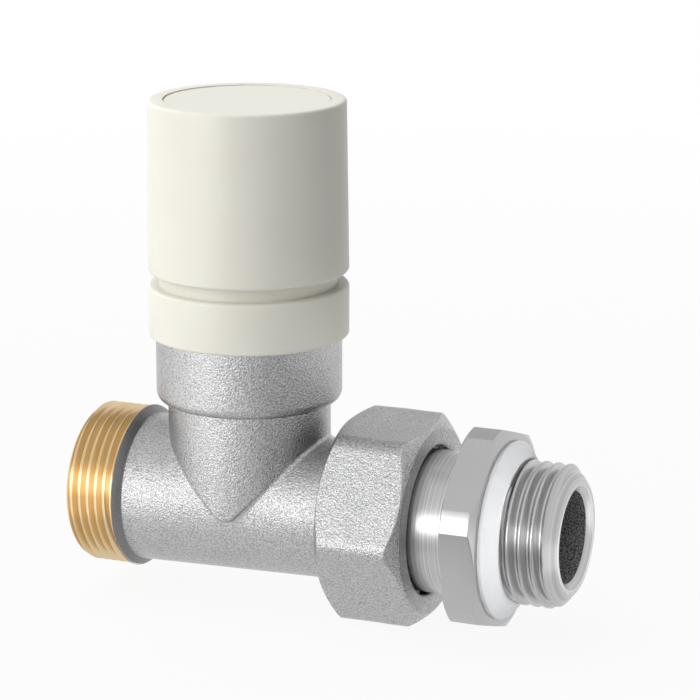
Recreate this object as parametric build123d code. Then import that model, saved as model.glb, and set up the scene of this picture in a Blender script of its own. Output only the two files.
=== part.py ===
"""Straight radiator valve, millimetres. The pipe runs along +X from the centre of the inlet end face,
the spindle stands along +Z. The valve is drawn open, with the union made up."""
import os
from math import radians, sqrt, tan

from build123d import *

# Pipe line
spindle_x = 25.0
overall_length = 76.2

# Forged body: inlet end
inlet_thread_radius = 12.0
inlet_thread_length = 7.9
inlet_lead_chamfer = 0.9
inlet_socket_radius = 9.5
inlet_socket_depth = 9.0
inlet_mouth_chamfer = 0.8
rim_radius = 12.1
rim_width = 0.2
rim_draft = 0.08
rim_slope = 1.0

# Forged body: barrel, neck and collar
barrel_inlet_radius = 11.05
barrel_outlet_radius = 10.25
neck_radius = 12.0
collar_radius = 13.7
collar_top = 28.5
shoulder_bottom = 15.4
shoulder_round = 1.6
shoulder_sink = 0.5
saddle_apex_x = 1.1
saddle_apex_z = -1.3
saddle_apex_round = 2.2
saddle_rise = 46.0
saddle_fillet = 0.8
saddle_edge_round = 0.5

# Forged body: waterways, seat and socket
waterway_radius = 5.5
waterway_drop = 3.2
waterway_past_spindle = 4.5
port_radius = 4.5
seat_radius = 5.4
seat_height = 0.6
chamber_radius = 8.6
chamber_floor = 4.0
socket_radius = 10.0
socket_floor = 14.0
socket_chamfer = 0.5
passage_radius = 4.0
passage_start_x = 5.5
passage_start_z = 10.0
passage_run_in = 2.0
outlet_bore_radius = 6.5
outlet_bore_start = 11.0

# Union between body and tail
union_thread_radius = 11.9
union_thread_start = 43.4
union_thread_chamfer = 0.7
spigot_end = 49.5
gasket_thickness = 1.5
gasket_inner_radius = 7.2
gasket_outer_radius = 10.2
thread_clearance = 0.1

# Union nut
nut_start = 41.3
nut_length = 13.2
nut_across_flats = 28.3
nut_corner_round = 3.0
nut_turn = 34.0
nut_hole_radius = 10.95
nut_lip_thickness = 1.6
nut_back_radius = 13.9
nut_back_slope = 34.0
nut_face_radius = 13.7
nut_face_slope = 36.0

# Tail piece
tail_radius = 10.45
tail_bore_radius = 6.7
tail_hex_start = 60.7
tail_hex_width = 5.2
tail_hex_across_flats = 28.0
tail_hex_turned_radius = 15.25
tail_hex_chamfer_width = 0.7
tail_hex_chamfer_depth = 1.4
tail_hex_edge_width = 0.25
tail_hex_turn = 11.6
tail_thread_radius = 10.4775
tail_relief_radius = 9.6
tail_relief_width = 2.1
tail_lead_length = 1.7
tail_lead_end_radius = 8.3
tail_mouth_radius = 7.55
tail_mouth_depth = 0.85
tail_edge = 0.5

# Retaining ring on the tail
clip_groove_radius = 9.5
clip_thickness = 1.0
clip_outer_radius = 11.75
clip_gap = 3.0
face_clearance = 0.1

# Seal ring on the tail
seal_outer_radius = 12.95
seal_width = 2.3
seal_nose_radius = 10.7
seal_rim_width = 0.5

# Headwork housing
housing_flange_radius = 11.5
housing_flange_height = 1.6
housing_hex_across_flats = 19.0
housing_lead = 0.8
spring_pocket_radius = 5.2
spring_pocket_floor = 20.0
gland_thread_radius = 6.0
gland_thread_length = 4.5

# Gland nut and the seals of the headwork
gland_hex_across_flats = 13.0
gland_hex_height = 1.8
gland_groove_radius = 4.7
gland_groove_drop = 0.5
gland_seal_wire = 1.24
housing_seal_wire = 1.5
housing_groove_drop = 2.0
stem_seal_wire = 1.5
stem_seal_rise = 2.2
groove_margin = 0.1

# Stem, spring and closing disc
lift = 1.5
stem_radius = 2.0
stem_stand_out = 2.2
stem_end_chamfer = 0.5
stem_tip_radius = 1.4
running_clearance = 0.06
press_clearance = 0.02
contact_gap = 0.1
washer_outer_radius = 5.65
washer_thickness = 2.0
holder_radius = 6.4
holder_height = 3.5
holder_hub_radius = 3.6
holder_flange_height = 1.6
washer_stand_out = 0.7
disc_nut_across_flats = 5.0
disc_nut_height = 2.2
stem_tip_stand_out = 0.4
spring_mean_radius = 3.8
spring_wire = 0.9
spring_turns = 5
spring_washer_radius = 4.8
spring_washer_thickness = 0.8
spring_washer_height = 28.5
stem_clip_radius = 3.6
stem_clip_thickness = 0.6
stem_groove_radius = 1.5
stem_clip_mouth = 2.4
stem_clip_headroom = 1.1

# Base ring under the knob
ring_radius = 14.75
ring_bottom = 25.3
ring_height = 7.6
ring_edge_round = 0.5
ring_web_thickness = 1.5
sleeve_outer_radius = 13.15
sleeve_inner_radius = 11.8
sleeve_top = 44.0
skirt_clearance = 0.05

# Knob
knob_bottom = 34.8
knob_height = 25.3
knob_top_radius = 14.4
knob_bottom_radius = 14.75
knob_inner_radius = 13.4
knob_top_round = 0.5
knob_bottom_round = 0.6
knob_plate_thickness = 1.4
knob_hub_wall = 1.5
knob_hub_headroom = 2.5
knob_rib_count = 6
knob_rib_thickness = 1.2
knob_rib_bottom = 46.5
knob_post_radius = 4.5
knob_post_bottom = 46.0
disc_radius = 12.25
disc_thickness = 1.5
disc_inset = 0.12
disc_clearance = 0.12
disc_edge = 0.15
pin_radius = 2.2
pin_seat_depth = 8.0
pin_tip_bevel = 0.4

# Levels and places that follow from the sizes above
seat_plane = chamber_floor + seat_height
washer_bottom = seat_plane + lift + contact_gap
holder_bottom = washer_bottom + washer_stand_out
holder_top = holder_bottom + holder_height
web_top = collar_top + ring_web_thickness
hex_bottom = web_top + housing_flange_height
clip_bottom = spring_washer_height + spring_washer_thickness
clip_top = clip_bottom + stem_clip_thickness
gland_thread_floor = clip_top + stem_clip_headroom
stem_seal_height = gland_thread_floor + stem_seal_rise
housing_top = gland_thread_floor + gland_thread_length
gland_top = housing_top + gland_hex_height
stem_top = gland_top + stem_stand_out
knob_hub_bottom = housing_top + knob_hub_headroom
knob_top = knob_bottom + knob_height
plate_top = knob_top - disc_inset - disc_thickness
plate_bottom = plate_top - knob_plate_thickness
tail_start = spigot_end + gasket_thickness
nut_end = nut_start + nut_length
nut_lip_face = nut_end - nut_lip_thickness
tail_hex_end = tail_hex_start + tail_hex_width
clip_end = nut_lip_face - face_clearance
clip_start = clip_end - clip_thickness
surface_tolerance = 0.02


def turned_z(*profile):
    """A closed outline of (radius, height) points turned about the spindle."""
    outline = make_face(Polyline(*profile, close=True))
    return Pos(spindle_x, 0, 0) * revolve(Plane.XZ * outline, Axis.Z)


def turned_x(*profile):
    """A closed outline of (place, radius) points turned about the pipe."""
    return revolve(make_face(Polyline(*profile, close=True)), Axis.X)


def bar_z(radius, bottom, top):
    """A round bar on the spindle axis."""
    return Pos(spindle_x, 0, bottom) * extrude(Circle(radius), top - bottom)


def across_pipe(place):
    """The plane square to the pipe at a place along it, facing the tail."""
    return Plane(origin=(place, 0, 0), x_dir=(0, 1, 0), z_dir=(1, 0, 0))


def bar_x(radius, start, end):
    """A round bar on the pipe axis."""
    return extrude(across_pipe(start) * Circle(radius), end - start)


def hexagon_x(across_flats, start, end, turn, corner_round=0.0):
    """A hexagon bar along the pipe. At turn 0 a corner points up."""
    face = RegularPolygon(across_flats / 2, 6, major_radius=False, rotation=90 + turn)
    if corner_round:
        face = fillet(face.vertices(), corner_round)
    return extrude(across_pipe(start) * face, end - start)


def hexagon_z(across_flats, bottom, top):
    """A hexagon bar along the spindle."""
    face = RegularPolygon(across_flats / 2, 6, major_radius=False)
    return Pos(spindle_x, 0, bottom) * extrude(face, top - bottom)


def corners_at(outline, radius):
    """The corners of a (radius, height) outline that lie at one radius."""
    return [corner for corner in outline.vertices() if abs(corner.X - radius) < surface_tolerance]


def o_ring(mean_radius, wire, height):
    """A rubber ring round the spindle."""
    return Pos(spindle_x, 0, height) * Torus(mean_radius, wire / 2)


def barrel_radius(x):
    """The forged barrel narrows evenly from the inlet rim to the union."""
    start = inlet_thread_length + rim_width + rim_slope
    share = (x - start) / (union_thread_start - start)
    return barrel_inlet_radius + share * (barrel_outlet_radius - barrel_inlet_radius)


def saddle_wedge():
    """The wedge above the V of the saddle, as deep as the body."""
    reach = 2 * collar_radius
    apex = (spindle_x + saddle_apex_x, saddle_apex_z)
    climb = reach * tan(radians(saddle_rise))
    left = (apex[0] - reach, apex[1] + climb)
    right = (apex[0] + reach, apex[1] + climb)
    face = make_face(Polyline(apex, right, left, close=True))
    face = fillet(face.vertices().sort_by(Axis.Y)[0], saddle_apex_round)
    return extrude(Plane.XZ * face, reach, both=True)


def forged_tee():
    """Barrel, neck and collar of the forging, with the saddle where the neck runs out on the barrel."""
    rim_end = inlet_thread_length + rim_width
    barrel = turned_x(
        (0, 0),
        (0, inlet_thread_radius - inlet_lead_chamfer),
        (inlet_lead_chamfer, inlet_thread_radius),
        (inlet_thread_length, inlet_thread_radius),
        (inlet_thread_length, rim_radius + rim_draft),
        (rim_end, rim_radius),
        (rim_end + rim_slope, barrel_inlet_radius),
        (union_thread_start, barrel_outlet_radius),
        (union_thread_start, union_thread_radius - union_thread_chamfer),
        (union_thread_start + union_thread_chamfer, union_thread_radius),
        (spigot_end - union_thread_chamfer, union_thread_radius),
        (spigot_end, union_thread_radius - union_thread_chamfer),
        (spigot_end, 0),
    )
    neck = bar_z(neck_radius, saddle_apex_z, shoulder_bottom) & saddle_wedge()
    curves = [edge for edge in neck.edges() if edge.geom_type != GeomType.LINE]
    foot = [edge for edge in curves if (edge @ 0.5).Z < shoulder_bottom]
    tee = barrel + fillet(foot, saddle_edge_round)
    creases = [edge for edge in tee.edges() if on_saddle(edge)]
    return fillet(creases, saddle_fillet) + collar()


def on_saddle(edge):
    """True for the crease where the slanted foot of the neck meets the barrel."""
    middle = edge @ 0.5
    if edge.geom_type == GeomType.LINE or abs(middle.X - spindle_x) > neck_radius:
        return False
    if not saddle_apex_z / 2 < middle.Z < shoulder_bottom:
        return False
    return abs((middle.Y ** 2 + middle.Z ** 2) ** 0.5 - barrel_radius(middle.X)) < surface_tolerance


def collar():
    """The round collar with its rolled shoulder."""
    outline = make_face(Polyline(
        (0, shoulder_bottom - shoulder_sink),
        (0, collar_top),
        (collar_radius, collar_top),
        (collar_radius, shoulder_bottom),
        (neck_radius, shoulder_bottom),
        (neck_radius, shoulder_bottom - shoulder_sink),
        close=True,
    ))
    lowest = min(corners_at(outline, collar_radius), key=lambda corner: corner.Y)
    outline = fillet(lowest, shoulder_round)
    return Pos(spindle_x, 0, 0) * revolve(Plane.XZ * outline, Axis.Z)


def valve_body():
    """The forging with its machined ends, waterways, seat and socket."""
    body = forged_tee()
    body -= turned_x(
        (0, 0),
        (0, inlet_socket_radius + inlet_mouth_chamfer),
        (inlet_mouth_chamfer, inlet_socket_radius),
        (inlet_socket_depth, inlet_socket_radius),
        (inlet_socket_depth, 0),
    )
    body -= Pos(0, 0, -waterway_drop) * bar_x(waterway_radius, 0, spindle_x + waterway_past_spindle)
    body -= turned_z(
        (0, -waterway_drop),
        (port_radius, -waterway_drop),
        (port_radius, seat_plane),
        (seat_radius, seat_plane),
        (seat_radius, chamber_floor),
        (chamber_radius, chamber_floor),
        (chamber_radius, socket_floor),
        (socket_radius, socket_floor),
        (socket_radius, collar_top - socket_chamfer),
        (socket_radius + socket_chamfer, collar_top),
        (0, collar_top),
    )
    outlet_start = spindle_x + outlet_bore_start
    body -= bar_x(outlet_bore_radius, outlet_start, spigot_end)
    start = Vector(spindle_x + passage_start_x, 0, passage_start_z)
    end = Vector(outlet_start + passage_run_in, 0, 0)
    slope = Plane(origin=start, x_dir=(0, 1, 0), z_dir=end - start)
    return body - extrude(slope * Circle(passage_radius), (end - start).length)


def headwork_housing():
    """The turned insert: spigot, flange and hexagon, bored for stem, spring and gland nut."""
    spigot = socket_radius - thread_clearance
    bottom = socket_floor
    groove_top = collar_top - housing_groove_drop
    groove_bottom = groove_top - housing_seal_wire - groove_margin
    groove_radius = socket_radius - housing_seal_wire - groove_margin
    blank = turned_z(
        (0, bottom),
        (spigot - housing_lead, bottom),
        (spigot, bottom + housing_lead),
        (spigot, groove_bottom),
        (groove_radius, groove_bottom),
        (groove_radius, groove_top),
        (spigot, groove_top),
        (spigot, web_top),
        (housing_flange_radius, web_top),
        (housing_flange_radius, hex_bottom),
        (0, hex_bottom),
    )
    blank += hexagon_z(housing_hex_across_flats, hex_bottom, housing_top)
    blank -= bar_z(stem_radius + running_clearance, bottom, spring_pocket_floor)
    blank -= bar_z(spring_pocket_radius, spring_pocket_floor, gland_thread_floor)
    return blank - bar_z(gland_thread_radius, gland_thread_floor, housing_top)


def headwork_o_ring():
    """Seals the housing in the body's socket."""
    height = collar_top - housing_groove_drop - (housing_seal_wire + groove_margin) / 2
    return o_ring(socket_radius - (housing_seal_wire + groove_margin) / 2, housing_seal_wire, height)


def gland_nut():
    """Screwed plug on top of the housing, grooved outside and inside for its seals."""
    thread = gland_thread_radius - thread_clearance
    groove_top = housing_top - gland_groove_drop
    groove_bottom = groove_top - gland_seal_wire - groove_margin
    half_groove = (stem_seal_wire + groove_margin) / 2
    nut = turned_z(
        (0, gland_thread_floor),
        (thread, gland_thread_floor),
        (thread, groove_bottom),
        (gland_groove_radius, groove_bottom),
        (gland_groove_radius, groove_top),
        (thread, groove_top),
        (thread, housing_top),
        (0, housing_top),
    )
    nut += hexagon_z(gland_hex_across_flats, housing_top, gland_top)
    nut -= bar_z(stem_radius + running_clearance, gland_thread_floor, gland_top)
    groove = stem_radius + running_clearance + stem_seal_wire + groove_margin / 2
    return nut - bar_z(groove, stem_seal_height - half_groove, stem_seal_height + half_groove)


def gland_o_ring():
    """Seals the gland nut in the housing."""
    height = housing_top - gland_groove_drop - (gland_seal_wire + groove_margin) / 2
    return o_ring(gland_groove_radius + gland_seal_wire / 2, gland_seal_wire, height)


def stem_o_ring():
    """Seals the sliding stem in the gland nut."""
    return o_ring(stem_radius + running_clearance + stem_seal_wire / 2, stem_seal_wire, stem_seal_height)


def stem():
    """Turned rod with a groove for its clip and a thin tip for the disc."""
    tip_end = washer_bottom - disc_nut_height - stem_tip_stand_out
    return turned_z(
        (0, tip_end),
        (stem_tip_radius, tip_end),
        (stem_tip_radius, holder_top),
        (stem_radius, holder_top),
        (stem_radius, clip_bottom),
        (stem_groove_radius, clip_bottom),
        (stem_groove_radius, clip_top),
        (stem_radius, clip_top),
        (stem_radius, stem_top - stem_end_chamfer),
        (stem_radius - stem_end_chamfer, stem_top),
        (0, stem_top),
    )


def return_spring():
    """Round wire wound between the pocket floor and the spring washer."""
    bottom = spring_pocket_floor + spring_wire / 2
    height = spring_washer_height - spring_pocket_floor - spring_wire
    coil = Helix(height / spring_turns, height, spring_mean_radius)
    wire = sweep((coil ^ 0) * Circle(spring_wire / 2), coil)
    return Pos(spindle_x, 0, bottom) * wire


def spring_washer():
    """Plain washer above the spring."""
    ring = bar_z(spring_washer_radius, spring_washer_height, clip_bottom)
    return ring - bar_z(stem_radius + press_clearance, spring_washer_height, clip_bottom)


def stem_clip():
    """Open clip in the stem's groove."""
    clip = bar_z(stem_clip_radius, clip_bottom, clip_top)
    clip -= bar_z(stem_groove_radius + press_clearance, clip_bottom, clip_top)
    outward = (Align.MIN, Align.CENTER, Align.MIN)
    mouth = Box(stem_clip_radius, stem_clip_mouth, stem_clip_thickness, align=outward)
    return clip - Pos(spindle_x, 0, clip_bottom) * mouth


def disc_holder():
    """Turned cup that carries the seat washer."""
    bore = stem_tip_radius + press_clearance
    recess = washer_outer_radius + press_clearance
    recess_top = washer_bottom + washer_thickness
    flange_top = recess_top + holder_flange_height
    return turned_z(
        (bore, recess_top),
        (recess, recess_top),
        (recess, holder_bottom),
        (holder_radius, holder_bottom),
        (holder_radius, flange_top),
        (holder_hub_radius, flange_top),
        (holder_hub_radius, holder_top),
        (bore, holder_top),
    )


def seat_washer():
    """Rubber washer that closes on the seat."""
    top = washer_bottom + washer_thickness
    ring = bar_z(washer_outer_radius, washer_bottom, top)
    return ring - bar_z(stem_tip_radius + press_clearance, washer_bottom, top)


def disc_nut():
    """Small hexagon nut under the seat washer."""
    bottom = washer_bottom - disc_nut_height
    nut = hexagon_z(disc_nut_across_flats, bottom, washer_bottom)
    return nut - bar_z(stem_tip_radius + press_clearance, bottom, washer_bottom)


def base_ring():
    """Moulded ring: skirt over the collar, web under the housing's flange, sleeve for the knob."""
    top = ring_bottom + ring_height
    outline = make_face(Polyline(
        (collar_radius + skirt_clearance, ring_bottom),
        (ring_radius, ring_bottom),
        (ring_radius, top),
        (sleeve_outer_radius, top),
        (sleeve_outer_radius, sleeve_top),
        (sleeve_inner_radius, sleeve_top),
        (sleeve_inner_radius, web_top),
        (socket_radius + socket_chamfer, web_top),
        (socket_radius + socket_chamfer, collar_top),
        (collar_radius + skirt_clearance, collar_top),
        close=True,
    ))
    outline = fillet(corners_at(outline, ring_radius), ring_edge_round)
    return Pos(spindle_x, 0, 0) * revolve(Plane.XZ * outline, Axis.Z)


def knob_shell():
    """Moulded cap: drafted wall, top plate with a recess for the disc, hub, ribs and centre post."""
    wall = make_face(Polyline(
        (0, plate_bottom),
        (knob_inner_radius, plate_bottom),
        (knob_inner_radius, knob_bottom),
        (knob_bottom_radius, knob_bottom),
        (knob_top_radius, knob_top),
        (disc_radius, knob_top),
        (disc_radius, plate_top),
        (0, plate_top),
        close=True,
    ))
    wall = fillet(corners_at(wall, knob_top_radius), knob_top_round)
    wall = fillet(corners_at(wall, knob_bottom_radius), knob_bottom_round)
    shell = Pos(spindle_x, 0, 0) * revolve(Plane.XZ * wall, Axis.Z)
    hub = sleeve_inner_radius - thread_clearance
    shell += bar_z(hub, knob_hub_bottom, plate_bottom)
    shell -= bar_z(hub - knob_hub_wall, knob_hub_bottom, plate_bottom)
    rib_depth = plate_bottom - knob_rib_bottom
    rib = Box(knob_inner_radius, knob_rib_thickness, rib_depth, align=(Align.MIN, Align.CENTER, Align.MAX))
    for turn in range(knob_rib_count):
        shell += Pos(spindle_x, 0, plate_bottom) * Rot(0, 0, 360 / knob_rib_count * turn) * rib
    shell += bar_z(knob_post_radius, knob_post_bottom, plate_bottom)
    return shell - bar_z(pin_radius + press_clearance, knob_post_bottom, knob_post_bottom + pin_seat_depth)


def knob_top_disc():
    """Snap-in disc in the knob's top, with a fine broken edge."""
    edge = disc_radius - disc_clearance
    top = plate_top + disc_thickness
    return turned_z(
        (0, plate_top),
        (edge, plate_top),
        (edge, top - disc_edge),
        (edge - disc_edge, top),
        (0, top),
    )


def thrust_pin():
    """Pin in the knob's post that pushes the stem."""
    tip = stem_top + contact_gap
    end = knob_post_bottom + pin_seat_depth
    return turned_z(
        (0, tip),
        (pin_radius - pin_tip_bevel, tip),
        (pin_radius, tip + pin_tip_bevel),
        (pin_radius, end),
        (0, end),
    )


def union_nut():
    """Forged hexagon nut: rounded corners, both ends turned to a slope, thread and inner lip."""
    nut = hexagon_x(nut_across_flats, nut_start, nut_end, nut_turn, nut_corner_round)
    reach = nut_across_flats / sqrt(3)
    back_run = (reach - nut_back_radius) * tan(radians(nut_back_slope))
    slope_back = (reach - nut_face_radius) * tan(radians(nut_face_slope))
    nut &= turned_x(
        (nut_start, 0),
        (nut_start, nut_back_radius),
        (nut_start + back_run, reach),
        (nut_end - slope_back, reach),
        (nut_end, nut_face_radius),
        (nut_end, 0),
    )
    nut -= bar_x(union_thread_radius + thread_clearance, nut_start, nut_lip_face)
    return nut - bar_x(nut_hole_radius, nut_lip_face, nut_end)


def tail_hexagon():
    """Hexagon with its corners turned round and both ends broken."""
    bar = hexagon_x(tail_hex_across_flats, tail_hex_start, tail_hex_end, tail_hex_turn)
    return bar & turned_x(
        (tail_hex_start, 0),
        (tail_hex_start, tail_hex_turned_radius - tail_edge),
        (tail_hex_start + tail_hex_edge_width, tail_hex_turned_radius),
        (tail_hex_end - tail_hex_chamfer_width, tail_hex_turned_radius),
        (tail_hex_end, tail_hex_turned_radius - tail_hex_chamfer_depth),
        (tail_hex_end, 0),
    )


def tail_piece():
    """Turned tail: plain end in the union, ring groove, hexagon, relief and radiator thread."""
    thread_start = tail_hex_end + tail_relief_width
    tail = turned_x(
        (tail_start, 0),
        (tail_start, tail_radius - tail_edge),
        (tail_start + tail_edge, tail_radius),
        (clip_start, tail_radius),
        (clip_start, clip_groove_radius),
        (clip_end, clip_groove_radius),
        (clip_end, tail_radius),
        (tail_hex_start, tail_radius),
        (tail_hex_end, tail_radius),
        (tail_hex_end, tail_relief_radius),
        (thread_start, tail_relief_radius),
        (thread_start + tail_edge, tail_thread_radius),
        (overall_length - tail_lead_length, tail_thread_radius),
        (overall_length, tail_lead_end_radius),
        (overall_length, 0),
    )
    tail += tail_hexagon()
    tail -= bar_x(tail_bore_radius, tail_start, overall_length)
    mouth_floor = overall_length - tail_mouth_depth
    return tail - turned_x(
        (mouth_floor, 0),
        (mouth_floor, tail_bore_radius),
        (overall_length, tail_mouth_radius),
        (overall_length, 0),
    )


def retaining_ring():
    """Split ring in the tail's groove, behind the nut's lip."""
    inner = clip_groove_radius + press_clearance
    ring = bar_x(clip_outer_radius, clip_start, clip_end) - bar_x(inner, clip_start, clip_end)
    slot = Box(clip_thickness, clip_gap, clip_outer_radius, align=(Align.MIN, Align.CENTER, Align.MAX))
    return ring - Pos(clip_start, 0, 0) * slot


def tail_seal_ring():
    """Seal ring against the hexagon, coned down to the thread."""
    inner = tail_relief_radius + press_clearance
    end = tail_hex_end + seal_width
    thread_foot = tail_hex_end + tail_relief_width
    return turned_x(
        (tail_hex_end, inner),
        (tail_hex_end, seal_outer_radius),
        (tail_hex_end + seal_rim_width, seal_outer_radius),
        (end, seal_nose_radius),
        (end, tail_thread_radius + press_clearance),
        (thread_foot, tail_thread_radius + press_clearance),
        (thread_foot, inner),
    )


def union_gasket():
    """Flat gasket clamped between body and tail."""
    ring = bar_x(gasket_outer_radius, spigot_end, tail_start)
    return ring - bar_x(gasket_inner_radius, spigot_end, tail_start)


pieces = (
    valve_body, headwork_housing, headwork_o_ring, gland_nut, gland_o_ring, stem_o_ring, base_ring,
    return_spring, stem, spring_washer, stem_clip, disc_holder, seat_washer, disc_nut, knob_shell,
    knob_top_disc, thrust_pin, union_nut, tail_piece, retaining_ring, tail_seal_ring, union_gasket,
)
os.makedirs("parts", exist_ok=True)
for piece in pieces:
    export_step(piece(), f"parts/{piece.__name__}.step")
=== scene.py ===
import math

import bmesh
import bpy
import numpy as np
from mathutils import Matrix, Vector


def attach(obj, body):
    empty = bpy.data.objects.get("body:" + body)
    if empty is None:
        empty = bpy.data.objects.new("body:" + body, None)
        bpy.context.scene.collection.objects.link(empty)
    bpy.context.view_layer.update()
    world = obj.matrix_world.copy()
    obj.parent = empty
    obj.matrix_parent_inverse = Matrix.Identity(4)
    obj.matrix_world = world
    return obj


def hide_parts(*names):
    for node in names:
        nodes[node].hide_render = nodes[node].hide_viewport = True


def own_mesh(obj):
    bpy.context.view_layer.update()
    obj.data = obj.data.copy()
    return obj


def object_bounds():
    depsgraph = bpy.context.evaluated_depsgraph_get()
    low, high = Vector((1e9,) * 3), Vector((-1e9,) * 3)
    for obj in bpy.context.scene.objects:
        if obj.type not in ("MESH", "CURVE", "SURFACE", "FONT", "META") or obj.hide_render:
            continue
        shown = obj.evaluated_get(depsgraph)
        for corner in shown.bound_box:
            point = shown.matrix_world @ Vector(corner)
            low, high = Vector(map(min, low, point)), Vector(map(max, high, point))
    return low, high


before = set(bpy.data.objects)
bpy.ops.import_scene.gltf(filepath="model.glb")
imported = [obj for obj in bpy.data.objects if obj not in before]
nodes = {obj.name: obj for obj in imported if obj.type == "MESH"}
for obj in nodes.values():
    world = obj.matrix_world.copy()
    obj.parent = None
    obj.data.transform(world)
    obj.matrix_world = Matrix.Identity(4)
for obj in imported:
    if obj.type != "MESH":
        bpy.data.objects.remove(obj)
cadLow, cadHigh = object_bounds()
scene = bpy.context.scene
mm = 0.001
weld = dict(drawn=2e-7, copied=2e-6)  # points closer than this are one
print("frame loaded,", len(nodes), "nodes")


# mesh helpers

# rows x columns of points become quads, closed on themselves both ways
def gridMesh(name, points):
    rows, columns = points.shape[:2]
    r = np.arange(rows)[:, None]
    c = np.arange(columns)[None, :]
    nextRow, nextColumn = (r + 1) % rows, (c + 1) % columns
    here, there = r * columns, nextRow * columns
    faces = np.stack([here + c, there + c, there + nextColumn, here + nextColumn], -1).reshape(-1, 4)
    mesh = bpy.data.meshes.new(name)
    mesh.from_pydata(points.reshape(-1, 3).tolist(), [], faces.tolist())
    return mesh


# outward faces, smooth shading and sharp edges above an angle
def finishMesh(mesh, sharpAngle):
    work = bmesh.new()
    work.from_mesh(mesh)
    bmesh.ops.remove_doubles(work, verts=work.verts, dist=weld["drawn"])
    bmesh.ops.recalc_face_normals(work, faces=work.faces)
    work.to_mesh(mesh)
    work.free()
    mesh.shade_smooth()
    mesh.set_sharp_from_angle(angle=math.radians(sharpAngle))


def addObject(name, mesh, material, body, node):
    piece = bpy.data.objects.new(name, mesh)
    scene.collection.objects.link(piece)
    mesh.materials.clear()
    mesh.materials.append(material)
    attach(piece, body)
    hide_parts(node)
    return piece


# a CAD node's loose triangles, merged into one smooth closed skin
def mergedCopy(node, name):
    mesh = nodes[node].data.copy()
    mesh.name = name
    if "custom_normal" in mesh.attributes:
        mesh.attributes.remove(mesh.attributes["custom_normal"])
    work = bmesh.new()
    work.from_mesh(mesh)
    bmesh.ops.remove_doubles(work, verts=work.verts, dist=weld["copied"])
    work.to_mesh(mesh)
    work.free()
    return mesh


# a profile of (along, radius, rounding, rows to the next point): each corner is a quadratic curve
# between two points set back by its rounding, each run is divided evenly
def profileRows(points, cornerRows=4):
    spots = np.array([p[:2] for p in points], float)
    rounds = np.array([p[2] for p in points], float)
    counts = [p[3] for p in points]
    ahead = np.roll(spots, -1, 0) - spots
    ahead /= np.linalg.norm(ahead, axis=1)[:, None]
    before = spots - np.roll(ahead, 1, 0) * rounds[:, None]
    after = spots + ahead * rounds[:, None]
    t = np.linspace(0, 1, cornerRows + 1)[:, None]
    rows = []
    for i in range(len(points)):
        if rounds[i] > 0:
            rows.append((1 - t) ** 2 * before[i] + 2 * t * (1 - t) * spots[i] + t ** 2 * after[i])
        else:
            rows.append(spots[i][None, :])
        step = np.linspace(0, 1, counts[i] + 1)[1:-1, None]
        follow = before[(i + 1) % len(points)]
        rows.append(after[i] + step * (follow - after[i]))
    return np.concatenate(rows)


# the lower of two surfaces with a small round where they cross
def softLower(a, b, width):
    gap = np.clip(0.5 + 0.5 * (b - a) / width, 0, 1)
    return b + (a - b) * gap - width * gap * (1 - gap)


# rows of (along, radius) turned about the pipe: point = (along, -radius sin u, radius cos u)
def aboutPipe(along, radius, angle):
    return np.stack([along + 0 * radius, -radius * np.sin(angle), radius * np.cos(angle)], -1) * mm


# shader helpers

def newTree(name):
    material = bpy.data.materials.new(name)
    material.use_nodes = True
    tree = material.node_tree
    shader = tree.nodes["Principled BSDF"]
    return material, tree, shader


def addNode(tree, kind, **values):
    node = tree.nodes.new(kind)
    for key, value in values.items():
        if hasattr(node, key):
            setattr(node, key, value)
        else:
            node.inputs[key.replace("_", " ")].default_value = value
    return node


def mathNode(tree, operation, a, b=None, clamp=False):
    node = tree.nodes.new("ShaderNodeMath")
    node.operation = operation
    node.use_clamp = clamp
    for socket, value in zip(node.inputs, (a, b)):
        if value is None:
            continue
        if isinstance(value, (int, float)):
            socket.default_value = value
        else:
            tree.links.new(value, socket)
    return node.outputs[0]


def rangeNode(tree, value, fromLow, fromHigh, toLow, toHigh):
    node = tree.nodes.new("ShaderNodeMapRange")
    tree.links.new(value, node.inputs["Value"])
    for key, number in (("From Min", fromLow), ("From Max", fromHigh), ("To Min", toLow), ("To Max", toHigh)):
        node.inputs[key].default_value = number
    return node.outputs["Result"]


def mixColour(tree, factor, a, b):
    node = tree.nodes.new("ShaderNodeMix")
    node.data_type = "RGBA"
    for socket, value in ((node.inputs["Factor"], factor), (node.inputs[6], a), (node.inputs[7], b)):
        if hasattr(value, "is_linked"):
            tree.links.new(value, socket)
        else:
            socket.default_value = value
    return node.outputs[2]


def bumpNode(tree, height, distance):
    node = tree.nodes.new("ShaderNodeBump")
    node.inputs["Strength"].default_value = 1.0
    node.inputs["Distance"].default_value = distance
    tree.links.new(height, node.inputs["Height"])
    return node.outputs["Normal"]


def newGroup(name, inputs, outputs):
    group = bpy.data.node_groups.new(name, "ShaderNodeTree")
    for label, kind, value in inputs:
        socket = group.interface.new_socket(name=label, in_out="INPUT", socket_type=kind)
        if value is not None:
            socket.default_value = value
    for label, kind in outputs:
        group.interface.new_socket(name=label, in_out="OUTPUT", socket_type=kind)
    return group, group.nodes.new("NodeGroupInput"), group.nodes.new("NodeGroupOutput")


def placeGroup(tree, group, vector):
    node = tree.nodes.new("ShaderNodeGroup")
    node.node_tree = group
    tree.links.new(vector, node.inputs["Vector"])
    return node


def objectCoordinates(tree):
    return tree.nodes.new("ShaderNodeTexCoord").outputs["Object"]


blastedLook = dict(
    pitsPerMetre=3000.0, pitShare=0.55, pitSmooth=0.35, fineTimes=1.35, fineRange=(0.36, 0.56),
    driftPerMetre=170.0, driftRange=(0.3, 0.7),
)


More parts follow.
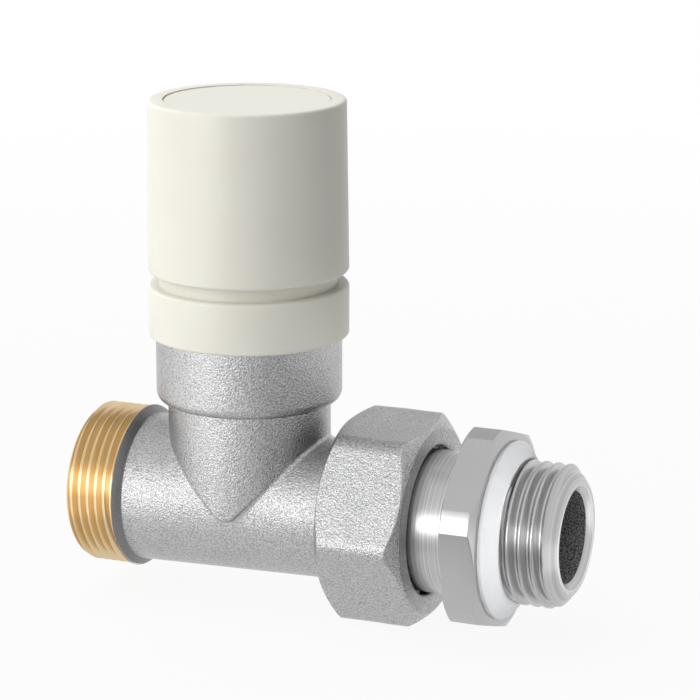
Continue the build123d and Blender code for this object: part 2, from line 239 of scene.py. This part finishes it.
# shot-blasted skin: fine rounded pits over a coarser hammering
def blastedSkin(look):
    group, start, end = newGroup(
        "blastedSkin",
        [("Vector", "NodeSocketVector", None), ("Pits per metre", "NodeSocketFloat", look["pitsPerMetre"])],
        [("Height", "NodeSocketFloat"), ("Pit", "NodeSocketFloat"), ("Drift", "NodeSocketFloat")],
    )
    pits = addNode(group, "ShaderNodeTexVoronoi", feature="SMOOTH_F1", Smoothness=look["pitSmooth"])
    pits.inputs["Randomness"].default_value = 1.0
    fine = addNode(group, "ShaderNodeTexNoise", Detail=3.0, Roughness=0.62)
    broad = addNode(group, "ShaderNodeTexNoise", Scale=look["driftPerMetre"], Detail=3.0, Roughness=0.5)
    for node in (pits, fine, broad):
        group.links.new(start.outputs["Vector"], node.inputs["Vector"])
    group.links.new(start.outputs["Pits per metre"], pits.inputs["Scale"])
    fineScale = mathNode(group, "MULTIPLY", start.outputs["Pits per metre"], look["fineTimes"])
    group.links.new(fineScale, fine.inputs["Scale"])
    pitDepth = mathNode(group, "MULTIPLY", pits.outputs["Distance"], look["pitShare"])
    height = mathNode(group, "ADD", pitDepth, fine.outputs["Fac"])
    group.links.new(height, end.inputs["Height"])
    pit = rangeNode(group, fine.outputs["Fac"], *look["fineRange"], 0.0, 1.0)
    drift = rangeNode(group, broad.outputs["Fac"], *look["driftRange"], 0.0, 1.0)
    group.links.new(pit, end.inputs["Pit"])
    group.links.new(drift, end.inputs["Drift"])
    return group


latheLook = dict(linesPerMetre=9000.0, bandScale=0.12, bandRange=(0.3, 0.7))


# lathe marks: lines round the pipe axis, along a cylinder or across an end face
def latheMarks(look):
    group, start, end = newGroup(
        "latheMarks",
        [("Vector", "NodeSocketVector", None), ("Lines per metre", "NodeSocketFloat", look["linesPerMetre"])],
        [("Height", "NodeSocketFloat"), ("Streak", "NodeSocketFloat"), ("Along", "NodeSocketFloat"),
         ("Radius", "NodeSocketFloat")],
    )
    split = group.nodes.new("ShaderNodeSeparateXYZ")
    group.links.new(start.outputs["Vector"], split.inputs[0])
    ySquare = mathNode(group, "MULTIPLY", split.outputs["Y"], split.outputs["Y"])
    zSquare = mathNode(group, "MULTIPLY", split.outputs["Z"], split.outputs["Z"])
    radius = mathNode(group, "SQRT", mathNode(group, "ADD", ySquare, zSquare))
    along = mathNode(group, "ADD", split.outputs["X"], radius)
    cut = mathNode(group, "MULTIPLY", along, start.outputs["Lines per metre"])
    lines = addNode(group, "ShaderNodeTexNoise", noise_dimensions="1D", Scale=1.0, Detail=2.0, Roughness=0.6)
    group.links.new(cut, lines.inputs["W"])
    bands = addNode(group, "ShaderNodeTexNoise", noise_dimensions="1D", Detail=2.0, Roughness=0.5)
    bands.inputs["Scale"].default_value = look["bandScale"]
    group.links.new(cut, bands.inputs["W"])
    group.links.new(lines.outputs["Fac"], end.inputs["Height"])
    streak = rangeNode(group, bands.outputs["Fac"], *look["bandRange"], 0.0, 1.0)
    group.links.new(streak, end.inputs["Streak"])
    group.links.new(split.outputs["X"], end.inputs["Along"])
    group.links.new(radius, end.inputs["Radius"])
    return group


blasted = blastedSkin(blastedLook)
lathe = latheMarks(latheLook)


# materials

# step: painted shade, the dark colour of the band on the turned step beyond the inlet thread
forgedLook = dict(
    nickel=(0.52, 0.52, 0.523, 1.0), pit=(0.28, 0.28, 0.283, 1.0), brass=(0.73, 0.57, 0.35, 1.0),
    brassDeep=(0.62, 0.44, 0.22, 1.0), step=(0.19, 0.19, 0.195, 1.0), paintedShadeWidth=0.00125,
    roughness=(0.26, 0.34), pitsPerMetre=3200.0, pitDepth=0.00009,
    brassEven=0.55, edgeBlur=0.00004, paintedShadeBlur=0.00015,
)


# nickel over blasted forging; with threadEnd set, raw brass below that place on the pipe
# and on the turned step just beyond it a darker band, painted shade
def forgedNickel(name, threadEnd=None):
    look = forgedLook
    material, tree, shader = newTree(name)
    where = objectCoordinates(tree)
    skin = placeGroup(tree, blasted, where)
    skin.inputs["Pits per metre"].default_value = look["pitsPerMetre"]
    colour = mixColour(tree, skin.outputs["Pit"], look["pit"], look["nickel"])
    rough = rangeNode(tree, skin.outputs["Drift"], 0.0, 1.0, *look["roughness"])
    height = skin.outputs["Height"]
    if threadEnd is not None:
        marks = placeGroup(tree, lathe, where)
        blur = look["edgeBlur"]
        plated = rangeNode(tree, marks.outputs["Along"], threadEnd - blur, threadEnd + blur, 0.0, 1.0)
        cut = mixColour(tree, marks.outputs["Streak"], look["brassDeep"], look["brass"])
        brass = mixColour(tree, look["brassEven"], cut, look["brass"])
        # painted shade: the turned step beyond the brass is coloured dark
        paintedShadeEnd = threadEnd + look["paintedShadeWidth"]
        paintedShadeMask = rangeNode(tree, marks.outputs["Along"], paintedShadeEnd - look["paintedShadeBlur"], paintedShadeEnd, 0.0, 1.0)
        colour = mixColour(tree, paintedShadeMask, look["step"], colour)
        colour = mixColour(tree, plated, brass, colour)
        height = mathNode(tree, "MULTIPLY", height, plated)
    tree.links.new(colour, shader.inputs["Base Color"])
    tree.links.new(rough, shader.inputs["Roughness"])
    tree.links.new(bumpNode(tree, height, look["pitDepth"]), shader.inputs["Normal"])
    shader.inputs["Metallic"].default_value = 1.0
    return material


turnedLook = dict(
    bright=(0.56, 0.56, 0.56, 1.0), dull=(0.42, 0.42, 0.423, 1.0), roughness=(0.26, 0.34),
    linesPerMetre=4200.0, flatsFrom=0.0607, flatsTo=0.0659, boreRadius=0.00675,
    # the bore colours: cast grain, darkened as painted shade of the deep hole
    grain=(0.34, 0.34, 0.34, 1.0), boreDeepShade=(0.03, 0.03, 0.03, 1.0), grainDepth=0.0001,
    boreRoughness=0.35, lineRange=(0.36, 0.64), lineShare=0.06, flatShade=0.3, edgeBlur=0.00005,
)


# nickel over a lathe-turned surface, with drawn flats between two places on the pipe
# and the grain of the raw casting inside the bore, darkened towards black as painted shade of the deep hole
def turnedNickel(name):
    look = turnedLook
    material, tree, shader = newTree(name)
    where = objectCoordinates(tree)
    marks = placeGroup(tree, lathe, where)
    marks.inputs["Lines per metre"].default_value = look["linesPerMetre"]
    skin = placeGroup(tree, blasted, where)
    middle, half = (look["flatsFrom"] + look["flatsTo"]) / 2, (look["flatsTo"] - look["flatsFrom"]) / 2
    apart = mathNode(tree, "ABSOLUTE", mathNode(tree, "SUBTRACT", marks.outputs["Along"], middle))
    turned = rangeNode(tree, apart, half, half + look["edgeBlur"], 0.0, 1.0)
    shade = look["flatShade"]
    streak = rangeNode(tree, marks.outputs["Height"], *look["lineRange"], -shade, 1.0 - shade)
    streak = mathNode(tree, "ADD", mathNode(tree, "MULTIPLY", streak, turned), shade, clamp=True)
    colour = mixColour(tree, streak, look["dull"], look["bright"])
    boreRadius = look["boreRadius"]
    bored = rangeNode(tree, marks.outputs["Radius"], boreRadius - look["edgeBlur"], boreRadius, 1.0, 0.0)
    # bore: cast grain, its colours darkened as painted shade of the hole
    grain = mixColour(tree, skin.outputs["Pit"], look["boreDeepShade"], look["grain"])
    colour = mixColour(tree, bored, colour, grain)
    rough = rangeNode(tree, skin.outputs["Drift"], 0.0, 1.0, *look["roughness"])
    rough = mathNode(tree, "ADD", rough, mathNode(tree, "MULTIPLY", bored, look["boreRoughness"]))
    tree.links.new(colour, shader.inputs["Base Color"])
    tree.links.new(rough, shader.inputs["Roughness"])
    lines = mathNode(tree, "MULTIPLY", marks.outputs["Height"], turned)
    lines = mathNode(tree, "MULTIPLY", lines, look["lineShare"])
    height = mathNode(tree, "ADD", lines, mathNode(tree, "MULTIPLY", skin.outputs["Height"], bored))
    tree.links.new(bumpNode(tree, height, look["grainDepth"]), shader.inputs["Normal"])
    shader.inputs["Metallic"].default_value = 1.0
    return material


creamLook = dict(
    pale=(0.80, 0.785, 0.70, 1.0), warm=(0.788, 0.771, 0.685, 1.0), roughness=(0.34, 0.40),
    pitsPerMetre=5200.0, pitDepth=0.000005, ior=1.49,
)


# moulded cream plastic with a faint mould skin
def creamPlastic(name):
    look = creamLook
    material, tree, shader = newTree(name)
    where = objectCoordinates(tree)
    skin = placeGroup(tree, blasted, where)
    skin.inputs["Pits per metre"].default_value = look["pitsPerMetre"]
    colour = mixColour(tree, skin.outputs["Drift"], look["warm"], look["pale"])
    rough = rangeNode(tree, skin.outputs["Drift"], 0.0, 1.0, *look["roughness"])
    tree.links.new(colour, shader.inputs["Base Color"])
    tree.links.new(rough, shader.inputs["Roughness"])
    tree.links.new(bumpNode(tree, skin.outputs["Height"], look["pitDepth"]), shader.inputs["Normal"])
    shader.inputs["IOR"].default_value = look["ior"]
    return material


sealGrain = 0.00001


# soft seals and gaskets: even colour with a fine moulded grain
def sealMaterial(name, light, dark, low, high):
    material, tree, shader = newTree(name)
    skin = placeGroup(tree, blasted, objectCoordinates(tree))
    tree.links.new(mixColour(tree, skin.outputs["Drift"], dark, light), shader.inputs["Base Color"])
    tree.links.new(rangeNode(tree, skin.outputs["Drift"], 0.0, 1.0, low, high), shader.inputs["Roughness"])
    tree.links.new(bumpNode(tree, skin.outputs["Height"], sealGrain), shader.inputs["Normal"])
    return material


innerLook = dict(roughness=(0.3, 0.22), lineDepth=0.000004)


# bright metal of the inner pieces
def innerMetal(name, bright, dull):
    material, tree, shader = newTree(name)
    marks = placeGroup(tree, lathe, objectCoordinates(tree))
    tree.links.new(mixColour(tree, marks.outputs["Streak"], dull, bright), shader.inputs["Base Color"])
    rough = rangeNode(tree, marks.outputs["Streak"], 0.0, 1.0, *innerLook["roughness"])
    tree.links.new(rough, shader.inputs["Roughness"])
    tree.links.new(bumpNode(tree, marks.outputs["Height"], innerLook["lineDepth"]), shader.inputs["Normal"])
    shader.inputs["Metallic"].default_value = 1.0
    return material


threadEndX = 7.9
bodyMetal = forgedNickel("bodyMetal", threadEndX * mm)
nutMetal = forgedNickel("nutMetal")
tailMetal = turnedNickel("tailMetal")
cream = creamPlastic("cream")
sealWhite = sealMaterial("sealWhite", (0.86, 0.865, 0.88, 1.0), (0.80, 0.805, 0.82, 1.0), 0.45, 0.55)
rubberBlack = sealMaterial("rubberBlack", (0.035, 0.035, 0.037, 1.0), (0.02, 0.02, 0.021, 1.0), 0.55, 0.7)
innerBrass = innerMetal("innerBrass", (0.72, 0.50, 0.20, 1.0), (0.60, 0.40, 0.14, 1.0))
innerSteel = innerMetal("innerSteel", (0.58, 0.58, 0.58, 1.0), (0.47, 0.47, 0.48, 1.0))
print("materials made")


# body: the forging with its inlet thread cut

inletThread = dict(
    radius=12.0, pitch=1.337, depth=0.86, rootWidth=0.2, proud=0.12, start=-1.03, end=7.95, steps=96,
    flankAngle=30.0, runOut=0.6, cutterSharp=30.0, bodySharp=28.0,
)


# cutter: a trapezium carried along a helix about the pipe, x = start + pitch * turn,
# growing out of the metal over the run-out
def helixCutter(name, look):
    turns = (look["end"] - look["start"]) / look["pitch"]
    turn = np.linspace(0, turns, int(turns * look["steps"]) + 1)[:, None]
    runOut = look["runOut"]
    leave = np.clip((turn - (turns - runOut)) / runOut, 0, 1) * (look["depth"] + look["proud"] / 2)
    high = look["depth"] + look["proud"]
    flank = look["rootWidth"] / 2 + high * math.tan(math.radians(look["flankAngle"]))
    across = np.array([-flank, -look["rootWidth"] / 2, look["rootWidth"] / 2, flank])[None, :]
    rise = np.array([high, 0.0, 0.0, high])[None, :]
    centre = look["start"] + look["pitch"] * turn
    radius = look["radius"] - look["depth"] + rise + leave * (rise < high / 2)
    angle = 2 * math.pi * turn
    points = aboutPipe(centre + across, radius, angle)
    rows, columns = points.shape[:2]
    r = np.arange(rows - 1)[:, None]
    c = np.arange(columns)[None, :]
    nextColumn = (c + 1) % columns
    here, there = r * columns, (r + 1) * columns
    faces = np.stack([here + c, here + nextColumn, there + nextColumn, there + c], -1).reshape(-1, 4).tolist()
    faces.append(list(range(columns)))
    faces.append(list(range((rows - 1) * columns, rows * columns)))
    mesh = bpy.data.meshes.new(name)
    mesh.from_pydata(points.reshape(-1, 3).tolist(), [], faces)
    finishMesh(mesh, look["cutterSharp"])
    return mesh


def cutBy(mesh, cutter):
    whole = bpy.data.objects.new("wholeBlank", mesh)
    tool = bpy.data.objects.new("threadTool", cutter)
    scene.collection.objects.link(whole)
    scene.collection.objects.link(tool)
    cut = whole.modifiers.new("cut", "BOOLEAN")
    cut.operation = "DIFFERENCE"
    cut.solver = "MANIFOLD"
    cut.object = tool
    bpy.context.view_layer.update()
    done = bpy.data.meshes.new_from_object(whole.evaluated_get(bpy.context.evaluated_depsgraph_get()))
    bpy.data.objects.remove(whole)
    bpy.data.objects.remove(tool)
    return done


bodyMesh = cutBy(mergedCopy("valve_body", "bodyBlank"), helixCutter("inletCutter", inletThread))
finishMesh(bodyMesh, inletThread["bodySharp"])
addObject("forgedBody", bodyMesh, bodyMetal, "valve_body", "valve_body")
print("body with inlet thread:", len(bodyMesh.polygons), "faces")


# union nut: forged hexagon with rounded corners

nut = dict(
    start=41.3, end=54.5, acrossFlats=28.3, cornerRound=3.0, turn=26.0, columns=420,
    backRadius=13.9, backSlope=34.0, faceRadius=13.7, faceSlope=36.0,
    hole=10.95, lip=1.6, thread=12.0, dish=0.05, outerReach=17.0, entry=0.6, holeEdge=0.35,
    backRound=0.15, faceRound=0.12, softEdge=0.12, sharpAngle=50.0, wallFrom=0.7, margin=0.01, uncut=99.0,
    waveTurns=(3.1, 2.3), waveAlong=(0.45, -0.3), wavePhase=1.0,
)


# hexagon radius at an angle from its corner: flats, with each corner an arc about a point on its ray
def roundedHexagon(angle, acrossFlats, cornerRound):
    off = np.abs((angle + math.pi / 6) % (math.pi / 3) - math.pi / 6)
    centre = (acrossFlats / 2 - cornerRound) / math.cos(math.pi / 6)
    meet = math.atan2(cornerRound * 0.5, centre + cornerRound * math.cos(math.pi / 6))
    flat = acrossFlats / 2 / np.cos(math.pi / 6 - off)
    arc = centre * np.cos(off) + np.sqrt(np.maximum(cornerRound ** 2 - (centre * np.sin(off)) ** 2, 0))
    return np.where(off < meet, arc, flat)


def nutMesh(look):
    reach = look["outerReach"]
    slopeRun = (reach - look["faceRadius"]) * math.tan(math.radians(look["faceSlope"]))
    backRun = (reach - look["backRadius"]) * math.tan(math.radians(look["backSlope"]))
    lipFace = look["end"] - look["lip"]
    rows = profileRows([
        (look["start"], look["thread"] + look["entry"], 0, 6),
        (look["start"], look["backRadius"], look["backRound"], 20),
        (look["start"] + backRun, reach, 0, 12),
        (look["end"] - slopeRun, reach, 0, 26),
        (look["end"], look["faceRadius"], look["faceRound"], 6),
        (look["end"], look["hole"] + look["holeEdge"], 0, 2),
        (look["end"] - look["holeEdge"], look["hole"], 0, 3),
        (lipFace, look["hole"], 0, 2),
        (lipFace, look["thread"], 0, 6),
        (look["start"] + look["entry"], look["thread"], 0, 2),
    ], cornerRows=6)
    angle = np.linspace(0, 2 * math.pi, look["columns"], endpoint=False)[None, :]
    hexagon = roundedHexagon(angle + math.radians(look["turn"]), look["acrossFlats"], look["cornerRound"])
    along, radius = rows[:, :1], rows[:, 1:] + 0 * angle
    # forging waves: a sine times a cosine of angle and place along, so that faces stray a little
    # from flat; the slope and the bore stay true
    first, second = [turns * angle + run * along for turns, run in zip(look["waveTurns"], look["waveAlong"])]
    wave = look["dish"] * np.sin(first) * np.cos(second + look["wavePhase"])
    between = (along < look["end"] - look["margin"]) & (along > look["start"] + look["margin"])
    outside = (rows[:, 1:] > look["thread"] + look["wallFrom"]) & between
    skin = np.where(outside, hexagon + wave, look["uncut"])
    return gridMesh("nutSkin", aboutPipe(along, softLower(radius, skin, look["softEdge"]), angle))


nutSkin = nutMesh(nut)
finishMesh(nutSkin, nut["sharpAngle"])
addObject("unionNut", nutSkin, nutMetal, "union_nut", "union_nut")
print("union nut:", len(nutSkin.polygons), "faces")


# tail: plain end, hexagon with turned corners, relief and radiator thread

tail = dict(
    start=51.0, radius=10.45, bore=6.7, grooveStart=51.8, grooveEnd=52.8, grooveRadius=9.5,
    hexStart=60.7, hexEnd=65.9, acrossFlats=28.0, turned=15.25, turn=18.4,
    chamferWidth=0.7, chamferDepth=1.4,
    reliefRadius=9.6, threadStart=68.0, threadRadius=10.4775, pitch=1.814, depth=1.1,
    end=76.2, leadLength=1.7, leadRadius=8.3, mouthRadius=7.55, mouthDepth=0.85,
    backChamferWidth=0.25, backChamferDepth=0.5, threadRise=0.5, crestShare=0.14, flankShare=0.70,
    startRound=0.3, grooveRound=0.06, rootRound=0.05, hexRound=0.08, chamferRound=0.06, endRound=0.08,
    boreRound=0.1, softEdge=0.05, sharpAngle=60.0, hexMargin=0.001, threadMargin=0.01,
    flatColumns=34, cornerColumns=22, columnGap=0.2,
)


# columns bunch where the flats meet the turned corners, six times round
def hexColumns(look):
    edge = math.degrees(math.acos(look["acrossFlats"] / 2 / look["turned"]))
    gap = look["columnGap"]
    flat = np.linspace(-edge + gap, edge - gap, look["flatColumns"])
    corner = np.linspace(edge + gap, 60 - edge - gap, look["cornerColumns"])
    one = np.concatenate([flat, [edge], corner, [60 - edge]])
    every = one[None, :] + 60.0 * np.arange(6)[:, None]
    return np.radians(every.reshape(-1) - look["turn"])[None, :]


def tailMesh(look):
    hexTop = look["turned"]
    rows = profileRows([
        (look["start"], look["bore"], 0, 2),
        (look["start"], look["radius"], look["startRound"], 2),
        (look["grooveStart"], look["radius"], look["grooveRound"], 2),
        (look["grooveStart"], look["grooveRadius"], 0, 2),
        (look["grooveEnd"], look["grooveRadius"], 0, 2),
        (look["grooveEnd"], look["radius"], look["grooveRound"], 6),
        (look["hexStart"], look["radius"], look["rootRound"], 8),
        (look["hexStart"], hexTop - look["backChamferDepth"], look["hexRound"], 3),
        (look["hexStart"] + look["backChamferWidth"], hexTop, look["hexRound"], 8),
        (look["hexEnd"] - look["chamferWidth"], hexTop, look["hexRound"], 14),
        (look["hexEnd"], hexTop - look["chamferDepth"], look["chamferRound"], 8),
        (look["hexEnd"], look["reliefRadius"], look["rootRound"], 3),
        (look["threadStart"], look["reliefRadius"], 0, 6),
        (look["threadStart"] + look["threadRise"], look["threadRadius"], 0, 88),
        (look["end"] - look["leadLength"], look["threadRadius"], look["rootRound"], 26),
        (look["end"], look["leadRadius"], look["endRound"], 2),
        (look["end"], look["mouthRadius"], look["endRound"], 3),
        (look["end"] - look["mouthDepth"], look["bore"], look["boreRound"], 6),
    ], cornerRows=3)
    angle = hexColumns(look)
    along, radius = rows[:, :1], rows[:, 1:] + 0 * angle
    off = (angle + math.radians(look["turn"]) + math.pi / 6) % (math.pi / 3) - math.pi / 6
    flats = look["acrossFlats"] / 2 / np.cos(off)
    near = look["hexMargin"]
    between = (along > look["hexStart"] - near) & (along < look["hexEnd"] + near)
    inHexagon = between & (rows[:, 1:] > look["radius"])
    radius = np.where(inHexagon, softLower(radius, flats, look["softEdge"]), radius)
    # thread: phase runs one turn per pitch, the groove is a trapezium wave cut into the thread radius
    phase = (along - look["threadStart"]) / look["pitch"] - angle / (2 * math.pi)
    wave = np.abs(2 * (phase - np.floor(phase)) - 1)
    groove = look["depth"] * np.clip((wave - look["crestShare"]) / look["flankShare"], 0, 1)
    near = look["threadMargin"]
    outer = (rows[:, 1:] > look["leadRadius"] - near) & (along > look["threadStart"] - near)
    floor = look["threadRadius"] - groove
    radius = np.where(outer, softLower(radius, floor, look["softEdge"]), radius)
    return gridMesh("tailSkin", aboutPipe(along, radius, angle))


tailSkin = tailMesh(tail)
finishMesh(tailSkin, tail["sharpAngle"])
addObject("tail", tailSkin, tailMetal, "tail", "tail_piece")
print("tail:", len(tailSkin.polygons), "faces")


# knob, base ring and seal keep the solids' shapes with a smooth skin

skinSharp = 30.0
for node, material, body, slot in (
    ("knob_shell", cream, "knob", "cream_plastic"),
    ("knob_top_disc", cream, "knob", "cream_plastic"),
    ("base_ring", cream, "valve_body", "cream_plastic"),
    ("tail_seal_ring", sealWhite, "tail", "white_ptfe"),
):
    skin = mergedCopy(node, node + "Skin")
    finishMesh(skin, skinSharp)
    addObject(node + "Smooth", skin, material, body, node)
print("knob, base ring and seal smoothed")


# return spring: a smooth copy of the solid, with a mesh of its own

spring = dict(joint="stem_lift", travel=1.5, sharpAngle=40.0)

springSkin = mergedCopy("return_spring", "springSkin")
finishMesh(springSkin, spring["sharpAngle"])
springPiece = addObject("returnSpring", springSkin, innerSteel, "valve_body", "return_spring")
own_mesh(springPiece)


# inner pieces keep the solids as they are

innerFinish = {
    innerBrass: ("headwork_housing", "gland_nut", "disc_holder", "disc_nut"),
    innerSteel: ("stem", "spring_washer", "stem_clip", "thrust_pin", "retaining_ring"),
    rubberBlack: ("headwork_o_ring", "gland_o_ring", "stem_o_ring", "seat_washer", "union_gasket"),
}
for material, names in innerFinish.items():
    for name in names:
        nodes[name].data.materials.clear()
        nodes[name].data.materials.append(material)
print("finishes set")


# studio: pale floor, white surroundings, cards for the reflections and soft boxes

view = dict(
    azimuth=22.96, elevation=14.22, focalPixels=3099.0, distance=449.65, target=(41.1, 0.0, 24.22),
    sensor=36.0, pixels=700.0,
)


def placeCamera(look):
    azimuth, elevation = math.radians(look["azimuth"]), math.radians(look["elevation"])
    level = math.cos(elevation)
    back = Vector((math.sin(azimuth) * level, -math.cos(azimuth) * level, math.sin(elevation)))
    camera = bpy.data.cameras.new("photoCamera")
    camera.sensor_width = look["sensor"]
    camera.lens = look["focalPixels"] / look["pixels"] * look["sensor"]
    camera.clip_start = 0.01
    camera.clip_end = 20.0
    holder = bpy.data.objects.new("photoCamera", camera)
    holder.location = (Vector(look["target"]) + back * look["distance"]) * mm
    holder.rotation_euler = back.to_track_quat("Z", "Y").to_euler()
    scene.collection.objects.link(holder)
    scene.camera = holder


placeCamera(view)

middleX = 0.038
studio = dict(
    floorDrop=0.0003, floorSize=3.0, cardLift=0.0004, paper=(0.66, 0.66, 0.66, 1.0), paperRoughness=0.9,
    paperShine=0.1, nearGlow=0.92, farGlow=1.0, shadowReach=(0.12, 0.45),
)


# pale paper: its own light far away, and near the object part of it, so that the shadow stays
def palePaper(look):
    material, tree, shader = newTree("palePaper")
    shader.inputs["Base Color"].default_value = look["paper"]
    shader.inputs["Roughness"].default_value = look["paperRoughness"]
    shader.inputs["Specular IOR Level"].default_value = look["paperShine"]
    glow = addNode(tree, "ShaderNodeEmission", Color=(1.0, 1.0, 1.0, 1.0), Strength=1.0)
    path = tree.nodes.new("ShaderNodeLightPath")
    seen = mathNode(tree, "MAXIMUM", path.outputs["Is Camera Ray"], path.outputs["Is Glossy Ray"])
    seen = mathNode(tree, "MAXIMUM", seen, path.outputs["Is Transmission Ray"])
    away = tree.nodes.new("ShaderNodeVectorMath")
    away.operation = "DISTANCE"
    tree.links.new(objectCoordinates(tree), away.inputs[0])
    away.inputs[1].default_value = (middleX, 0.0, cadLow.z)
    share = rangeNode(tree, away.outputs["Value"], *look["shadowReach"], look["nearGlow"], look["farGlow"])
    blend = tree.nodes.new("ShaderNodeMixShader")
    tree.links.new(mathNode(tree, "MULTIPLY", seen, share), blend.inputs["Fac"])
    tree.links.new(shader.outputs[0], blend.inputs[1])
    tree.links.new(glow.outputs[0], blend.inputs[2])
    tree.links.new(blend.outputs[0], tree.nodes["Material Output"].inputs["Surface"])
    return material


# a flat sheet of the studio, from its four corners
def laySheet(name, corners, material):
    mesh = bpy.data.meshes.new(name)
    mesh.from_pydata([tuple(corner) for corner in corners], [], [(0, 1, 2, 3)])
    mesh.materials.append(material)
    sheet = bpy.data.objects.new(name, mesh)
    scene.collection.objects.link(sheet)
    return sheet


floorZ = cadLow.z - studio["floorDrop"]
half = studio["floorSize"] / 2
floorCorners = [(-half, -half, floorZ), (half, -half, floorZ), (half, half, floorZ), (-half, half, floorZ)]
laySheet("floor", floorCorners, palePaper(studio))

# fans of card on the floor that only reflections see: heading and half angle in degrees about the object
floorCards = (
    dict(name="paleCard", centre=(middleX, 0.0), heading=-148.0, halfAngle=32.0, near=0.06, far=0.45,
         level=1.5),
    dict(name="darkCard", centre=(middleX, 0.0), heading=-42.0, halfAngle=18.0, near=0.05, far=0.45,
         level=0.13),
    dict(name="rightCard", centre=(middleX, 0.0), heading=14.0, halfAngle=24.0, near=0.06, far=0.165,
         level=1.8),
    dict(name="threadCard", centre=(0.0735, -0.010), heading=-117.0, halfAngle=5.0, near=0.009, far=0.085,
         level=0.2),
    dict(name="tailCard", centre=(0.066, -0.008), heading=-114.0, halfAngle=16.0, near=0.027, far=0.078,
         level=0.75),
)


def cardMaterial(name, level):
    material, tree = newTree(name)[:2]
    glow = addNode(tree, "ShaderNodeEmission", Color=(1.0, 1.0, 1.0, 1.0), Strength=level)
    tree.links.new(glow.outputs[0], tree.nodes["Material Output"].inputs["Surface"])
    return material


def onlyReflected(card):
    card.visible_camera = False
    card.visible_diffuse = False
    card.visible_shadow = False


def layFloorCard(look):
    centre = Vector((*look["centre"], floorZ + studio["cardLift"]))
    heading, spread = math.radians(look["heading"]), math.radians(look["halfAngle"])
    rays = [Vector((math.cos(heading + turn), math.sin(heading + turn), 0.0)) for turn in (-spread, spread)]
    near, far = look["near"], look["far"]
    left, right = rays
    corners = [centre + left * near, centre + left * far, centre + right * far, centre + right * near]
    onlyReflected(laySheet(look["name"], corners, cardMaterial(look["name"], look["level"])))


for card in floorCards:
    layFloorCard(card)

# cards hung in the air, facing the object, for the highlight along the pipe and the shade on its top
hungCards = (
    dict(name="keyCard", towards=(-0.38, -0.908, 0.178), distance=0.50, size=(0.34, 0.18), level=4.7),
    dict(name="backCard", towards=(-0.37, 0.65, 0.66), distance=0.50, size=(0.55, 0.40), level=0.72),
)


def hangCard(look):
    aim = Vector((middleX, 0.0, 0.0))
    towards = Vector(look["towards"]).normalized()
    side = Vector((-towards.y, towards.x, 0.0)).normalized()
    rise = towards.cross(side)
    centre = aim + towards * look["distance"]
    wide, high = side * look["size"][0] / 2, rise * look["size"][1] / 2
    corners = [centre - wide - high, centre + wide - high, centre + wide + high, centre - wide + high]
    onlyReflected(laySheet(look["name"], corners, cardMaterial(look["name"], look["level"])))


for card in hungCards:
    hangCard(card)

surround = dict(left=1.5, right=0.0, leftwards=(-0.92, -0.39, 0.0), turnOver=(-0.6, 0.7), seen=1.0)


# white to the eye and in reflections; soft light falls mostly from the left
def paintWorld(look):
    world = bpy.data.worlds.new("studio")
    world.use_nodes = True
    scene.world = world
    tree = world.node_tree
    background = tree.nodes["Background"]
    where = tree.nodes.new("ShaderNodeTexCoord").outputs["Generated"]
    facing = tree.nodes.new("ShaderNodeVectorMath")
    facing.operation = "DOT_PRODUCT"
    tree.links.new(where, facing.inputs[0])
    facing.inputs[1].default_value = look["leftwards"]
    shade = rangeNode(tree, facing.outputs["Value"], *look["turnOver"], look["right"], look["left"])
    path = tree.nodes.new("ShaderNodeLightPath")
    seen = mathNode(tree, "MAXIMUM", path.outputs["Is Camera Ray"], path.outputs["Is Glossy Ray"])
    seen = mathNode(tree, "MAXIMUM", seen, path.outputs["Is Transmission Ray"])
    level = tree.nodes.new("ShaderNodeMix")
    tree.links.new(seen, level.inputs[0])
    tree.links.new(shade, level.inputs[2])
    level.inputs[3].default_value = look["seen"]
    tree.links.new(level.outputs[0], background.inputs["Strength"])
    background.inputs["Color"].default_value = (1.0, 1.0, 1.0, 1.0)


paintWorld(surround)

softBoxes = (
    dict(name="keyBox", aim=(middleX, 0.0, 0.02), towards=(-0.43, -0.85, 0.36), distance=0.55,
         size=(0.36, 0.46), spread=180.0, power=0.45),
    dict(name="topBox", aim=(middleX, 0.0, 0.02), towards=(-0.25, 0.15, 1.0), distance=0.55,
         size=(0.5, 0.4), spread=180.0, power=0.95),
    dict(name="sealBox", aim=(0.067, 0.0, 0.003), towards=(0.85, -0.5, 0.02), distance=0.16,
         size=(0.05, 0.04), spread=15.0, power=0.0033),
)


# lamps that no reflection shows; the cards do that
def hangSoftBox(look):
    towards = Vector(look["towards"]).normalized()
    lamp = bpy.data.lights.new(look["name"], "AREA")
    lamp.shape = "RECTANGLE"
    lamp.size, lamp.size_y = look["size"]
    lamp.energy = look["power"]
    lamp.spread = math.radians(look["spread"])
    holder = bpy.data.objects.new(look["name"], lamp)
    holder.location = Vector(look["aim"]) + towards * look["distance"]
    holder.rotation_euler = towards.to_track_quat("Z", "Y").to_euler()
    holder.visible_camera = False
    holder.visible_glossy = False
    scene.collection.objects.link(holder)


for box in softBoxes:
    hangSoftBox(box)

scene.view_settings.view_transform = "Standard"
print("studio set")
